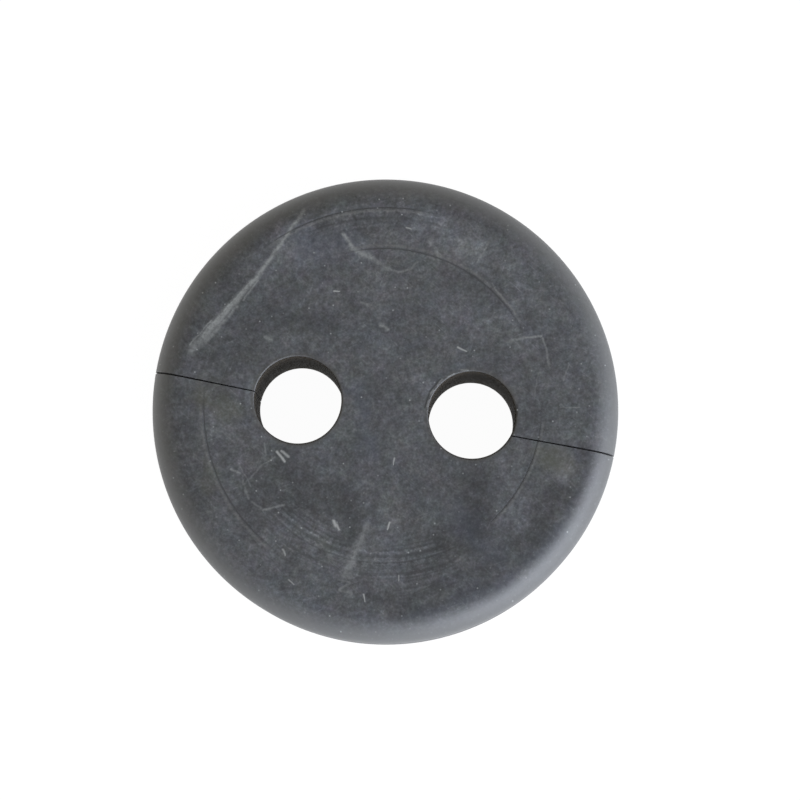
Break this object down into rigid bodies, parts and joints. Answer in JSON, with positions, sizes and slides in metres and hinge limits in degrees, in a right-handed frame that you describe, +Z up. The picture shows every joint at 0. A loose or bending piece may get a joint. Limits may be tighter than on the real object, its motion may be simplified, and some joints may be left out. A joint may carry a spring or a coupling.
{
  "type": "rubber grommet",
  "caption": "Round rubber grommet with rounded flanges, a panel groove, and paired cable holes split out to the rim.",
  "frame": {"origin": "centre of the lower flat face, where the grommet rests", "axes": "+Z up along the grommet's own axis, out of the face that the picture shows; the two cable holes lie on X"},
  "size_m": [0.0508, 0.0508, 0.0127],
  "materials": {
    "moulded_rubber": "matt moulded rubber, dusty grey with age, finely scuffed"
  },
  "bodies": {
    "root": {"rubber_grommet": "moulded_rubber"}
  },
  "joints": []
}
